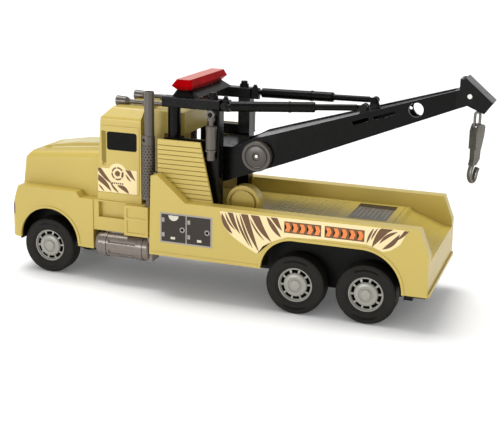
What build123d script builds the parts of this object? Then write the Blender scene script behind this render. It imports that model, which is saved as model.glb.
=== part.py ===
from build123d import *
import os
from math import atan2, cos, hypot, radians, sin

# A toy six-wheel tow truck: a bonnet cab and a flat bed moulded in sand-coloured plastic,
# a black tower with a light bar, and a black boom with a knob-driven winch and a hook.
#
# X points forward, Y to the truck's left and Z up. The origin is on the ground, under the
# middle of the truck's overall length. Distances along the truck are given from the middle
# axle, and fore() turns them into X. All lengths are in millimetres.

# ---------------------------------------------------------------- driving dimensions
MIDDLE_AXLE_X = -76.8
FRONT_AXLE = 275.0
REAR_AXLE = -68.4

TYRE_R = 29.0
TYRE_W = 16.6
RIM_R = 17.0
AXLE_R = 1.5
RUNNING_GAP = 0.06
REAR_TYRE_FACE = 69.4
FRONT_TYRE_FACE = 49.6

WALL = 2.2

BED_HALF = 72.0
LEDGE_INNER = 60.0
LEDGE_Z = 97.6
FLOOR_Z = 83.0
SKIRT_Z = 42.3
TAIL_Z = 34.6
TAIL_X = -125.0
BED_FRONT = 148.5

NOSE_HALF = 53.0
NOSE_TOP = 91.5
CAB_HALF = 50.0
ROOF_Z = 180.0
SLEEPER_HALF = 34.0
SLEEPER_TOP = 178.0

DECK_Z = 156.0
BEAM_Z = 145.0
TOWER_HALF = 50.0
TOWER_TOP = 195.8
TOWER_FRONT = 143.5
TOWER_REAR = 86.0
POST_W = 12.5

BOOM_HALF = 30.0
BOOM_TIP_HALF = 12.0
BOOM_PLATE = 2.6
PIVOT = (104.0, 128.0)
PIVOT_R = 4.0
TIP_PIN = (-142.2, 210.7)
WINCH = (52.6, 141.8)
WINCH_SHAFT_R = 2.0
KNOB_R = 14.6
COIL_R = 6.0
ROLLER_R = 5.7
CORD_R = 0.8
CORD_GAP = 0.3

SLEEVE_PIN = (81.0, 48.0, 190.3)
ROD_PIN = (-48.0, 24.8, 195.4)
SLEEVE_R = 4.9
ROD_R = 3.0
EYE_R = 3.6
EYE_W = 2.6
PIN_R = 1.6

SCREW_R = 1.3
FRONT_SCREW = (231.0, 46.5)
BED_SCREWS = [(136.0, 40.0), (-114.0, 40.0)]
CHASSIS_Z = (34.0, 37.0)
PANEL_Z = 83.6
ARCH_LIP = 2.5
LIP_PROUD = 0.7
SILL_Z = 54.0

SIDES = {"left": 1, "right": -1}


def fore(distance):
    """X of a place this far ahead of the middle axle."""
    return MIDDLE_AXLE_X + distance


def place(points):
    """Side-view points (distance, Z) as (X, Z)."""
    return [(fore(d), z) for d, z in points]


def outline(points, inset=0.0):
    """Fill a closed side-view outline in the sketch that is open, shrunk by an inset."""
    with BuildLine() as edge:
        Polyline(*place(points), close=True)
    make_face(edge.edges())
    if inset:
        offset(amount=-inset, kind=Kind.INTERSECTION)


def side_box(d0, d1, y0, y1, z0, z1, mode=Mode.ADD):
    """A box from d0 to d1 along the truck, y0 to y1 across it and z0 to z1 up."""
    with Locations((fore((d0 + d1) / 2), (y0 + y1) / 2, (z0 + z1) / 2)):
        Box(abs(d1 - d0), abs(y1 - y0), abs(z1 - z0), mode=mode)


def twin_box(d0, d1, y0, y1, z0, z1, mode=Mode.ADD):
    """The same box on the left and on the right."""
    for side in SIDES.values():
        side_box(d0, d1, side * y0, side * y1, z0, z1, mode)


def cross_rod(d, z, radius, y0, y1, mode=Mode.ADD):
    """A round bar across the truck, from y0 to y1, at a side-view place."""
    with BuildSketch(Plane.XZ.offset(-y0)) as end:
        with Locations((fore(d), z)):
            Circle(radius)
    extrude(end.sketch, amount=y0 - y1, mode=mode)


def wheel_opening(arches, grow=0.0, mode=Mode.ADD):
    """Side view of an opening over the wheels: a round arch for each, joined by a flat top."""
    for d, z, radius in arches:
        with Locations((fore(d), z)):
            Circle(radius + grow, mode=mode)
        with Locations((fore(d), z - 30)):
            Rectangle(2 * (radius + grow), 60, mode=mode)
    if len(arches) > 1:
        middle = sum(d for d, z, radius in arches) / 2
        top = min(z + radius for d, z, radius in arches) + grow
        with Locations((fore(middle), top / 2)):
            Rectangle(abs(arches[0][0] - arches[1][0]), top, mode=mode)


def arch_lips(arches, half, under):
    """A narrow raised lip round a wheel opening on both sides, cut off by an under outline."""
    for side in SIDES.values():
        with BuildSketch(Plane.XZ.offset(-side * (half - 1))) as lips:
            wheel_opening(arches, ARCH_LIP)
            wheel_opening(arches, 0, Mode.SUBTRACT)
            with BuildLine() as edge:
                Polyline(*place(under), close=True)
            make_face(edge.edges(), mode=Mode.SUBTRACT)
        extrude(lips.sketch, amount=-side * (1 + LIP_PROUD))


def save(part, node):
    """Label a finished piece and write its STEP file."""
    part.label = node
    export_step(part, f"parts/{node}.step")
    print(f"{node:24s} solids {len(part.solids())}  volume {part.volume:10.1f}")


os.makedirs("parts", exist_ok=True)


# ---------------------------------------------------------------- cab moulding
NOSE = [(221, 33.5), (221, 85.5), (236, 85.5), (240, NOSE_TOP), (307.5, NOSE_TOP),
        (313.5, 75), (318, 61), (318, 37), (304, 36)]
BONNET = [(203, 70), (203, 145), (300, 145), (300, 127), (306.5, 119), (311.5, 84), (311.5, 70)]
CAB = [(168, 78), (168, ROOF_Z), (203, ROOF_Z), (212, 170), (217.5, 78)]
SLEEPER = [(128, DECK_Z + 0.4), (128, SLEEPER_TOP), (172, SLEEPER_TOP), (172, 84),
           (150, 84), (150, DECK_Z + 0.4)]
CAB_SIDE = [(150, SILL_Z), (150, 85.5), (224, 85.5), (224, SILL_Z)]
FRONT_ARCH = (272.4, 37.1, 33.4)
LAMP_D = 312.5


def nose_block(inset):
    """The bumper and mudguard block, whole or shrunk all round."""
    with BuildPart() as block:
        with BuildSketch(Plane.XZ):
            outline(NOSE, inset)
        extrude(amount=NOSE_HALF - inset, both=True)
        with BuildSketch(Plane.XY):
            with Locations((fore(230), 0)):
                RectangleRounded(2 * (88 - inset), 2 * (NOSE_HALF - inset), 9 - inset)
        extrude(amount=120, mode=Mode.INTERSECT)
    return block.part


def bonnet_block(inset):
    """The bonnet, narrower and lower towards its nose, with soft edges."""
    with BuildPart() as block:
        for d, half, top in ((200, 43, 135.4), (316, 35.6, 124.2)):
            with BuildSketch(Plane.YZ.offset(fore(d))):
                with BuildLine():
                    Polyline((half - inset, 80), (half - inset, top - inset), (inset - half, top - inset),
                             (inset - half, 80), close=True)
                make_face()
                fillet(vertices().filter_by(lambda v: v.Y > 100), radius=9 - inset)
        loft(ruled=True)
        with BuildSketch(Plane.XZ):
            outline(BONNET, inset)
        extrude(amount=60, both=True, mode=Mode.INTERSECT)
    return block.part


def cab_block(inset):
    """The cab, with its roof's long edges cut back."""
    with BuildPart() as block:
        with BuildSketch(Plane.XZ):
            outline(CAB, inset)
        extrude(amount=CAB_HALF - inset, both=True)
        with BuildSketch(Plane.YZ.offset(fore(160))):
            with BuildLine():
                Polyline((CAB_HALF - inset, 70), (CAB_HALF - inset, 170 - inset), (40, ROOF_Z - inset),
                         (-40, ROOF_Z - inset), (inset - CAB_HALF, 170 - inset),
                         (inset - CAB_HALF, 70), close=True)
            make_face()
            fillet(vertices().filter_by(lambda v: v.Y > 160), radius=5)
        extrude(amount=70, mode=Mode.INTERSECT)
    return block.part


with BuildPart() as cab_shell:
    add(nose_block(0))
    add(bonnet_block(0))
    add(cab_block(0))
    with BuildSketch(Plane.XZ):
        outline(SLEEPER)
    extrude(amount=SLEEPER_HALF, both=True)
    with BuildSketch(Plane.XZ):
        outline(CAB_SIDE)
    extrude(amount=NOSE_HALF - 1, both=True)
    # Raised panel along the middle of the bonnet.
    with BuildSketch(Plane.XZ):
        outline([(214, 120), (214, 137.2), (262, 133.6), (292, 128.6), (304, 122.5), (304, 110)])
    extrude(amount=17, both=True)
    # Step blocks below the doors.
    twin_box(157, 183, 45, 59, SILL_Z, 85.2)
    # The hollow, open below.
    add(nose_block(WALL), mode=Mode.SUBTRACT)
    add(bonnet_block(WALL), mode=Mode.SUBTRACT)
    add(cab_block(WALL), mode=Mode.SUBTRACT)
    with BuildSketch(Plane.XZ):
        outline(SLEEPER, WALL)
    extrude(amount=SLEEPER_HALF - WALL, both=True, mode=Mode.SUBTRACT)
    side_box(152.2, 219, -44, 44, 40, 87, Mode.SUBTRACT)
    side_box(219, 232, -40, 40, 40, 83.2, Mode.SUBTRACT)
    # Walls that close the step pockets on the inside.
    twin_box(184, 217, 44.2, 46.6, SILL_Z, 87)
    side_box(223.2, 315.8, WALL - NOSE_HALF, NOSE_HALF - WALL, 20, 45, Mode.SUBTRACT)
    side_box(220, 224, -35.4, 35.4, 30, CHASSIS_Z[1] + 0.6, Mode.SUBTRACT)
    # Front wheel arches.
    with BuildSketch(Plane.XZ):
        wheel_opening([FRONT_ARCH])
    extrude(amount=60, both=True, mode=Mode.SUBTRACT)
    arch_lips([FRONT_ARCH], NOSE_HALF, [(200, 37), (330, 37), (330, -60), (200, -60)])
    # Step pockets and the two panels of each step block.
    twin_box(186, 215, 46.5, 60, 68, 84.2, Mode.SUBTRACT)
    twin_box(160, 180, 58.2, 60, 72.5, 82.5, Mode.SUBTRACT)
    twin_box(160, 180, 58.2, 60, 57, 70, Mode.SUBTRACT)
    # Side windows with the tall recess ahead of them.
    for side in SIDES.values():
        with BuildSketch(Plane.XZ.offset(-side * 40)):
            with Locations((fore(189), 147.2)):
                RectangleRounded(33, 18.6, 2.6)
        extrude(amount=-side * 20, mode=Mode.SUBTRACT)
    twin_box(206.5, 210.5, 49, 51, 122, 157, Mode.SUBTRACT)
    # Windscreen, in two panes.
    for side in SIDES.values():
        with BuildSketch(Plane.YZ.offset(fore(200))):
            with Locations((side * 20.5, 152)):
                RectangleRounded(36, 25, 3)
        extrude(amount=30, mode=Mode.SUBTRACT)
    # Seats for the headlamps, the grille and the lower air slot.
    twin_box(LAMP_D, 320, 36, 54, 60, 73, Mode.SUBTRACT)
    side_box(300, 320, -27, 27, 95, 119, Mode.SUBTRACT)
    side_box(300, 320, -25, 25, 44, 54, Mode.SUBTRACT)
    # Door joint lines.
    for side in SIDES.values():
        with BuildSketch(Plane.XZ.offset(-side * 60)):
            with Locations((fore(193), 128.3)):
                Rectangle(47, 69)
                Rectangle(46, 68, mode=Mode.SUBTRACT)
        extrude(amount=side * 10.6, mode=Mode.SUBTRACT)
    # Bosses for the two front chassis screws.
    for side in SIDES.values():
        with Locations((fore(FRONT_SCREW[0]), side * FRONT_SCREW[1], CHASSIS_Z[1] + 0.2)):
            Cylinder(4, 48, align=(Align.CENTER, Align.CENTER, Align.MIN))
            Cylinder(SCREW_R, 30, align=(Align.CENTER, Align.CENTER, Align.MIN), mode=Mode.SUBTRACT)
save(cab_shell.part, "cab_shell")


# ---------------------------------------------------------------- windows and front trim
with BuildPart() as window_glazing:
    # One smoked moulding behind the windows, with a pane standing into each opening.
    add(cab_block(WALL + 0.1))
    add(cab_block(WALL + 1.3), mode=Mode.SUBTRACT)
    side_box(150, 175, -60, 60, 60, 200, Mode.SUBTRACT)
    side_box(150, 230, -60, 60, 60, 132, Mode.SUBTRACT)
    side_box(150, 230, -60, 60, 161, 200, Mode.SUBTRACT)
    for side in SIDES.values():
        with BuildSketch(Plane.XZ.offset(-side * 47)):
            with Locations((fore(189), 147.2)):
                RectangleRounded(32.6, 18.2, 2.4)
        extrude(amount=-side * 1.9)
        with BuildSketch(Plane.YZ.offset(fore(209.4))):
            with Locations((side * 20.5, 152)):
                RectangleRounded(35.6, 24.6, 2.8)
        extrude(amount=2.4)
save(window_glazing.part, "window_glazing")

with BuildPart() as grille:
    side_box(300, 309, -26.8, 26.8, 95.2, 118.8)
    with BuildSketch(Plane.XZ):
        outline(BONNET, 0.8)
    extrude(amount=30, both=True, mode=Mode.INTERSECT)
    with Locations(*[(fore(312), y, 107) for y in range(-22, 23, 4)]):
        Box(12, 2.4, 19, mode=Mode.SUBTRACT)
    side_box(300, 304, -26.8, 26.8, 95.2, 118.8)
save(grille.part, "grille")

for name, side in SIDES.items():
    with BuildPart() as headlamp:
        add(nose_block(0.1))
        add(nose_block(2.0), mode=Mode.SUBTRACT)
        with Locations((fore(LAMP_D + 5.1), side * 45, 66.5)):
            Box(10, 17.8, 12.8, mode=Mode.INTERSECT)
    save(headlamp.part, f"headlamp_{name}")

TANK = (48.0, 39.7, 23.0, 24.6)
for name, side in SIDES.items():
    across, height, width, tall = TANK
    with BuildPart() as side_tank:
        with BuildSketch(Plane.YZ.offset(fore(157))):
            with Locations((side * across, height)):
                RectangleRounded(width, tall, 10)
        extrude(amount=60)
        fillet(side_tank.edges().group_by(Axis.X)[-1], radius=4.5)
        fillet(side_tank.edges().group_by(Axis.X)[0], radius=2)
        # Straps round the tank, and the block it hangs from.
        for d in (166, 206):
            with BuildSketch(Plane.YZ.offset(fore(d - 2))):
                with Locations((side * across, height)):
                    RectangleRounded(width + 1.6, tall + 1.6, 10.8)
            extrude(amount=4)
        side_box(162, 208, side * 39, side * 50, 47, SILL_Z)
        # Rear mounting bracket under the bed's corner.
        side_box(153.5, 158.5, side * 40, side * 56, 29, SILL_Z)
        # Two long slots in the outer side.
        for z in (45.4, 34.6):
            side_box(171, 201, side * 57.6, side * 62, z - 1.6, z + 1.6, Mode.SUBTRACT)
    save(side_tank.part, f"side_tank_{name}")

for name, side in SIDES.items():
    with BuildPart() as exhaust_stack:
        with BuildSketch(Plane.XY.offset(85.5)):
            with Locations((fore(158), side * 54)):
                Circle(3)
        extrude(amount=9)
        with BuildSketch(Plane.XY.offset(93)):
            with Locations((fore(158), side * 54)):
                Circle(6.4)
        extrude(amount=64)
        fillet(exhaust_stack.edges().filter_by(lambda e: e.center().Z > 90 and e.length > 30), radius=1)
        with BuildSketch(Plane.XY.offset(157)):
            with Locations((fore(157), side * 54)):
                Circle(4.9)
        extrude(amount=43)
        with BuildSketch(Plane.XY.offset(190)):
            with Locations((fore(157), side * 54)):
                Circle(3.9)
        extrude(amount=12, mode=Mode.SUBTRACT)
        # The sight hole near the top of the perforated sleeve.
        with Locations((fore(160), side * 60, 153)):
            Cylinder(1.9, 6, rotation=(90, 0, 0), mode=Mode.SUBTRACT)
        # The clip that holds the pipe to the corner of the bed moulding.
        side_box(149, 155, side * 50, side * 56, 118, 121)
    save(exhaust_stack.part, f"exhaust_stack_{name}")

for name, side in SIDES.items():
    with BuildPart() as air_horn:
        with BuildSketch(Plane.YZ.offset(fore(150))):
            with Locations((side * 21, 183)):
                Circle(2.3)
        extrude(amount=44)
        with BuildSketch(Plane.YZ.offset(fore(193))):
            with Locations((side * 21, 183)):
                Circle(2.3)
        with BuildSketch(Plane.YZ.offset(fore(197))):
            with Locations((side * 21, 183)):
                Circle(4.6)
        loft(ruled=True)
        with BuildSketch(Plane.YZ.offset(fore(197))):
            with Locations((side * 21, 183)):
                Circle(4.6)
        with BuildSketch(Plane.YZ.offset(fore(207.5))):
            with Locations((side * 21, 183)):
                Circle(5.2)
        loft(ruled=True)
        with BuildSketch(Plane.YZ.offset(fore(208))):
            with Locations((side * 21, 183)):
                Circle(4.2)
        extrude(amount=-7, taper=12, mode=Mode.SUBTRACT)
        side_box(190, 205.2, side * 14, side * 28, 170, ROOF_Z + 0.02, Mode.SUBTRACT)
        side_box(170, 178, side * 17, side * 25, ROOF_Z, 184)
    save(air_horn.part, f"air_horn_{name}")


# ---------------------------------------------------------------- bed moulding
BED_SIDE = [(BED_FRONT + 1, SKIRT_Z), (BED_FRONT - 1, 121.5), (141, 123), (111.3, LEDGE_Z),
            (-115.4, LEDGE_Z), (TAIL_X, 73.7), (TAIL_X - 0.5, TAIL_Z), (-90, TAIL_Z), (0, SKIRT_Z)]
LOUVRE = [(145.5, LEDGE_Z - 2), (145.5, 155.6), (101.2, 155.6), (87.5, LEDGE_Z - 2)]
ARCH_FRONT = (1.7, 41.2, 32.3)
ARCH_REAR = (-62.8, 34.0, 39.3)
HUB = (66.0, 94.0, 17.2)

with BuildPart() as bed:
    with BuildSketch(Plane.XZ):
        outline(BED_SIDE)
    extrude(amount=BED_HALF, both=True)
    # Underside hollow: all but the skins, up to the floor and the ledges.
    with BuildSketch(Plane.XZ):
        outline([(BED_FRONT - 2, 20), (BED_FRONT - 2.6, FLOOR_Z - 2.4), (-81, FLOOR_Z - 2.4),
                 (-116, 65.4), (-122.4, 64.4), (-122.8, 20)])
    extrude(amount=BED_HALF - WALL - 0.2, both=True, mode=Mode.SUBTRACT)
    # Inside the hollow ledges and the corner blocks.
    for side in SIDES.values():
        with BuildSketch(Plane.XZ.offset(-side * (LEDGE_INNER + 2.2))):
            outline([(BED_FRONT - 2.2, 60), (BED_FRONT - 3.4, 119.2), (141.8, 120), (112, LEDGE_Z - 2.4),
                     (-113.5, LEDGE_Z - 2.4), (-120, 78), (-122, 60)])
        extrude(amount=-side * (BED_HALF - LEDGE_INNER - 4.5), mode=Mode.SUBTRACT)
    # The loading space, open to the top, with the ramp at its rear.
    with BuildSketch(Plane.XZ):
        outline([(BED_FRONT + 5, 130), (BED_FRONT + 5, FLOOR_Z), (-82, FLOOR_Z), (-85.5, 79.5),
                 (-117, 67.8), (-124.4, 66.8), (-140, 66.8), (-140, 130)])
    extrude(amount=LEDGE_INNER, both=True, mode=Mode.SUBTRACT)
    # Half-round hub on the floor at the left foot of the tower, with a groove in its face.
    cross_rod(*HUB, 22, 34)
    side_box(46, 86, 20, 36, 60, FLOOR_Z - 1.2, Mode.SUBTRACT)
    with BuildSketch(Plane.XZ.offset(-31.6)):
        with Locations((fore(HUB[0]), HUB[1])):
            Circle(14)
            Circle(12, mode=Mode.SUBTRACT)
        with Locations((fore(HUB[0]), FLOOR_Z - 19.6)):
            Rectangle(40, 40, mode=Mode.SUBTRACT)
    extrude(amount=-5, mode=Mode.SUBTRACT)
    # Raised panel on the floor behind the tower.
    side_box(-78, 46, -55, 55, FLOOR_Z - 0.5, PANEL_Z)
    # Twin wheel arches through both skirts.
    with BuildSketch(Plane.XZ):
        wheel_opening([ARCH_FRONT, ARCH_REAR])
    extrude(amount=100, both=True, mode=Mode.SUBTRACT)
    arch_lips([ARCH_FRONT, ARCH_REAR], BED_HALF,
              [(200, SKIRT_Z), (0, SKIRT_Z), (-90, TAIL_Z), (-130, TAIL_Z), (-130, -60), (200, -60)])
    # Ridge along the sills.
    twin_box(37, 147, BED_HALF - 1, BED_HALF + 0.5, SKIRT_Z + 2.2, SKIRT_Z + 3.4)
    # Lip along the foot of the tail.
    side_box(TAIL_X - 2.2, TAIL_X + 2.5, -70, 70, TAIL_Z, 38)
    # Screw bosses down to the chassis.
    for d, y in BED_SCREWS:
        for side in SIDES.values():
            with Locations((fore(d), side * y, CHASSIS_Z[1] + 0.2)):
                Cylinder(4, (FLOOR_Z if d > 0 else 69) - CHASSIS_Z[1] - 2,
                         align=(Align.CENTER, Align.CENTER, Align.MIN))
                Cylinder(SCREW_R, 22, align=(Align.CENTER, Align.CENTER, Align.MIN), mode=Mode.SUBTRACT)

# The moulding is kept as its floor and its two hollow sides, which meet at the ledges' inner faces.
with BuildPart() as bed_floor:
    add(bed.part)
    side_box(-200, 200, -LEDGE_INNER, LEDGE_INNER, 0, 200, Mode.INTERSECT)
save(bed_floor.part, "bed_floor")

for name, side in SIDES.items():
    with BuildPart() as bed_side:
        add(bed.part)
        side_box(-200, 200, side * LEDGE_INNER, side * (BED_HALF + 10), 0, 200, Mode.INTERSECT)
        # Louvred panel standing on the ledge's inner edge.
        with BuildSketch(Plane.XZ.offset(-side * 57.4)):
            outline(LOUVRE)
        extrude(amount=-side * 2.6)
        for step in range(12):
            low = 149.6 - 4.55 * step
            side_box(84, 150, side * 59.5, side * 61, low, low + 0.9, Mode.SUBTRACT)
    save(bed_side.part, f"bed_side_{name}")


# ---------------------------------------------------------------- chassis, axles and wheels
AXLES = {"front": (FRONT_AXLE, FRONT_TYRE_FACE), "middle": (0.0, REAR_TYRE_FACE),
         "rear": (REAR_AXLE, REAR_TYRE_FACE)}
SCREW_PLACES = [(d, side * y) for d, y in [FRONT_SCREW] + BED_SCREWS for side in SIDES.values()]

with BuildPart() as chassis:
    side_box(-122, 145, -46, 46, *CHASSIS_Z)
    side_box(145, 240, -35, 35, *CHASSIS_Z)
    side_box(224.5, 237, -50, 50, *CHASSIS_Z)
    side_box(240, 308, -31.5, 31.5, *CHASSIS_Z)
    # Plate and brackets under the tail.
    side_box(-124, -106, -69, 69, 32.6, 34.4)
    side_box(-122, -110, -46, 46, 32.6, 36)
    twin_box(-112, -104, 61, 69.5, 29.5, 34.4)
    # Long rails that carry the axles.
    twin_box(-98, 30, 41, 46, 23.5, 35)
    twin_box(255, 295, 22, 27, 23.5, 35)
    # Inner wheel housings over the rear wheels.
    for side in SIDES.values():
        with BuildSketch(Plane.XZ.offset(-side * 45.5)):
            outline([(-101, 35), (34, 35), (34, 70), (26, 78), (-80, 78), (-101, 69)])
        extrude(amount=-side * 2.3)
    twin_box(-82, 26, 45.5, 69.2, 74.5, 76.5)
    # Inner wheel housings over the front wheels.
    twin_box(236.6, 308.2, 29.5, 31.5, 35, 73.5)
    twin_box(236.6, 308.2, 29.5, 50.6, 71.5, 73.5)
    twin_box(236.6, 238.6, 29.5, 50.6, CHASSIS_Z[0], 73.5)
    twin_box(306.2, 308.2, 29.5, 50.6, CHASSIS_Z[0], 73.5)
    # Bearings.
    for d, face in AXLES.values():
        cross_rod(d, TYRE_R, AXLE_R + RUNNING_GAP, -60, 60, Mode.SUBTRACT)
    for d, y in SCREW_PLACES:
        with Locations((fore(d), y, CHASSIS_Z[0])):
            Cylinder(SCREW_R + 0.1, 12, mode=Mode.SUBTRACT)
save(chassis.part, "chassis")

with BuildPart() as chassis_screws:
    for d, y in SCREW_PLACES:
        top = CHASSIS_Z[0] if d > -110 else 32.6
        with Locations((fore(d), y, top)):
            Cylinder(2.6, 1.8, align=(Align.CENTER, Align.CENTER, Align.MAX))
            Cylinder(SCREW_R - 0.05, 12, align=(Align.CENTER, Align.CENTER, Align.MIN))
            Box(3.4, 0.7, 3, mode=Mode.SUBTRACT)
            Box(0.7, 3.4, 3, mode=Mode.SUBTRACT)
    for d, y in SCREW_PLACES:
        top = CHASSIS_Z[0] if d > -110 else 32.6
        with Locations((fore(d), y, top - 0.9)):
            Cylinder(SCREW_R - 0.05, 3, align=(Align.CENTER, Align.CENTER, Align.MIN))
save(chassis_screws.part, "chassis_screws")


def wheel_axis(d):
    return Axis((fore(d), 0, TYRE_R), (0, 1, 0))


def turned(d, points, mode=Mode.ADD):
    """A ring or disc turned about a wheel's axis, from (radius, Y) points."""
    with BuildSketch(Plane.XY.offset(TYRE_R)) as section:
        with BuildLine() as edge:
            Polyline(*[(fore(d) + radius, y) for radius, y in points], close=True)
        make_face(edge.edges())
    revolve(section.sketch, axis=wheel_axis(d), mode=mode)


def tyre(d, side, face):
    """A tyre with rounded shoulders and a step where it meets the rim."""
    inner = face - TYRE_W
    points = [(RIM_R, inner + 1), (RIM_R + 1.5, inner), (26.4, inner), (28.3, inner + 0.7),
              (TYRE_R, inner + 2.2),
              (TYRE_R, face - 2.2), (28.3, face - 0.7), (26.4, face), (19.4, face), (18.8, face - 0.5),
              (RIM_R, face - 0.5)]
    with BuildPart() as ring:
        turned(d, [(radius, side * y) for radius, y in points])
        # Tread grooves.
        for middle in (face - TYRE_W / 2 - 3.2, face - TYRE_W / 2, face - TYRE_W / 2 + 3.2):
            groove = [(27.9, middle - 0.5), (TYRE_R + 1, middle - 0.5), (TYRE_R + 1, middle + 0.5),
                      (27.9, middle + 0.5)]
            turned(d, [(radius, side * y) for radius, y in groove], Mode.SUBTRACT)
    return ring.part


def rim(d, side, face):
    """A ten-window rim: barrel, disc, raised hub and a blind bore for the axle."""
    barrel = [(15.2, face - TYRE_W + 1), (RIM_R - 0.02, face - TYRE_W + 1), (RIM_R - 0.02, face - 0.4),
              (15.6, face - 0.2), (15.2, face - 0.8)]
    disc = [(0, face - 5.6), (15.4, face - 5.6), (15.4, face - 3.6), (10.2, face - 2.8), (8.6, face - 1.2),
            (5.6, face - 1.2), (5.0, face - 0.6), (2.2, face - 0.6), (1.8, face - 0.1), (0, face - 0.1)]
    boss = [(0, face - 16), (4.2, face - 16), (5, face - 5), (0, face - 5)]
    bore = [(0, face - 20), (AXLE_R + 0.02, face - 20), (AXLE_R + 0.02, face - 4), (0, face - 4)]
    with BuildPart() as wheel:
        for points in (barrel, disc, boss):
            turned(d, [(radius, side * y) for radius, y in points])
        turned(d, [(radius, side * y) for radius, y in bore], Mode.SUBTRACT)
        with BuildSketch(Plane.XZ.offset(-side * (face - 9))) as windows:
            with Locations((fore(d), TYRE_R)):
                with PolarLocations(12.7, 10):
                    RectangleRounded(3.4, 4.6, 1.1)
        extrude(windows.sketch, amount=-side * 9, mode=Mode.SUBTRACT)
    return wheel.part


for name, (d, face) in AXLES.items():
    with BuildPart() as axle:
        cross_rod(d, TYRE_R, AXLE_R, 4.2 - face, face - 4.2)
    save(axle.part, f"{name}_axle")
    for hand, side in SIDES.items():
        save(tyre(d, side, face), f"tyre_{name}_{hand}")
        save(rim(d, side, face), f"rim_{name}_{hand}")


# ---------------------------------------------------------------- tower and light bar
for name, side in SIDES.items():
    with BuildPart() as tower_side:
        side_box(TOWER_REAR, TOWER_REAR + POST_W, side * 37, side * TOWER_HALF, FLOOR_Z, 186)
        fillet(tower_side.edges().filter_by(Axis.Z).filter_by(lambda e: abs(e.center().Y) > 49), radius=1.5)
        # Front leg, the beam along the top and the plate that holds the boom's pin.
        side_box(TOWER_FRONT - 10, TOWER_FRONT, side * 45, side * TOWER_HALF, FLOOR_Z, BEAM_Z + 2)
        side_box(TOWER_REAR + 2, TOWER_FRONT, side * 45, side * TOWER_HALF, BEAM_Z, DECK_Z)
        side_box(TOWER_FRONT - 16, TOWER_FRONT, side * 37, side * TOWER_HALF, DECK_Z - 6, DECK_Z)
        side_box(TOWER_REAR + 2, PIVOT[0] + 9, side * 45, side * TOWER_HALF, PIVOT[1] - 10, PIVOT[1] + 9)
        with BuildSketch(Plane.XY.offset(DECK_Z)):
            with Locations((fore(135), side * 43.5)):
                Circle(POST_W / 2)
        extrude(amount=186 - DECK_Z)
        # Long top bar with softened edges.
        with BuildSketch(Plane.YZ.offset(fore(TOWER_REAR))):
            with Locations((side * 43.5, (TOWER_TOP + 185.4) / 2)):
                RectangleRounded(13, TOWER_TOP - 185.4, 1.2)
        extrude(amount=TOWER_FRONT + 2 - TOWER_REAR)
        # Ear for the cylinder's pin, behind the post.
        side_box(77.5, 86.5, side * 39.5, side * 44.8, 184.6, TOWER_TOP)
        cross_rod(SLEEVE_PIN[0], SLEEVE_PIN[2], PIN_R, 30 * side, 60 * side, Mode.SUBTRACT)
        cross_rod(*PIVOT, PIVOT_R, 30 * side, 60 * side, Mode.SUBTRACT)
    save(tower_side.part, f"tower_side_{name}")

with BuildPart() as tower_bolts:
    for side in SIDES.values():
        for d, y, radius, tall in ((94.6, 43.5, 4.8, 6.4), (82.2, 42.3, 2.6, 3.2)):
            with Locations((fore(d), side * y, TOWER_TOP)):
                Cylinder(radius, tall / 2, align=(Align.CENTER, Align.CENTER, Align.MIN))
                Cylinder(radius * 0.72, tall, align=(Align.CENTER, Align.CENTER, Align.MIN))
    fillet(tower_bolts.edges().group_by(Axis.Z)[-1], radius=0.8)
save(tower_bolts.part, "tower_bolts")

with BuildPart() as sleeve_pins:
    for side in SIDES.values():
        cross_rod(SLEEVE_PIN[0], SLEEVE_PIN[2], PIN_R - 0.02, side * 39.6, side * 50.2)
        cross_rod(SLEEVE_PIN[0], SLEEVE_PIN[2], 2.4, side * 50.1, side * 51.2)
save(sleeve_pins.part, "sleeve_pins")

BEACON_BASE = [(TOWER_TOP, 109, 137, 46.5), (202, 118.9, 133.5, 43)]
BEACON = [(202, 118.9, 133.5, 43), (206.3, 115.2, 136.2, 50), (212.5, 117.6, 132.2, 46)]


def tapered_bar(levels):
    """A bar across the truck with slanted faces, from (Z, rear, front, half width) levels."""
    with BuildPart() as bar:
        for low, high in zip(levels, levels[1:]):
            for z, d0, d1, half in (low, high):
                with BuildSketch(Plane.XY.offset(z)):
                    with Locations((fore((d0 + d1) / 2), 0)):
                        RectangleRounded(d1 - d0, 2 * half, 3)
            loft(ruled=True)
    return bar.part


save(tapered_bar(BEACON_BASE), "beacon_base")
save(tapered_bar(BEACON), "beacon_lens")

for name, side in SIDES.items():
    with BuildPart() as canister:
        for z, radius, height in ((139, 3.9, 12), (150, 5.0, 22), (147.5, 5.3, 1.6), (169.5, 5.4, 1.6),
                                  (171, 2.4, 7), (177, 3.6, 3)):
            with Locations((fore(91.5), side * 56.2, z)):
                Cylinder(radius, height, align=(Align.CENTER, Align.CENTER, Align.MIN))
        # Carrying ring and the clip on the tower's post.
        with Locations((fore(92.5), side * 56.2, 182.6)):
            Cylinder(4.2, 2, rotation=(90, 0, 0))
            Cylinder(2.4, 2, rotation=(90, 0, 0), mode=Mode.SUBTRACT)
        side_box(88.5, 94.5, side * TOWER_HALF, side * 52.5, 158, 166)
    save(canister.part, f"canister_{name}")


# ---------------------------------------------------------------- boom
TOP_LINE = (172.8, 9.0, 0.305)
NEAR_HOLE = (-94.8, 195.4, 6.8)
FAR_HOLE = (-95.0, 193.6, 8.2)
SLOTS = [(-66.0, 188.2, 21.5, 3.4), (-44.1, 181.5, 16.5, 3.6)]
SLOT_TURN = -18.7
WEB_DROP = 1.4
WEB = 2.4
FLANGE = 0.5


def boom_top(d):
    """Height of the boom's straight upper edge."""
    return TOP_LINE[0] + (TOP_LINE[1] - d) * TOP_LINE[2]


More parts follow.
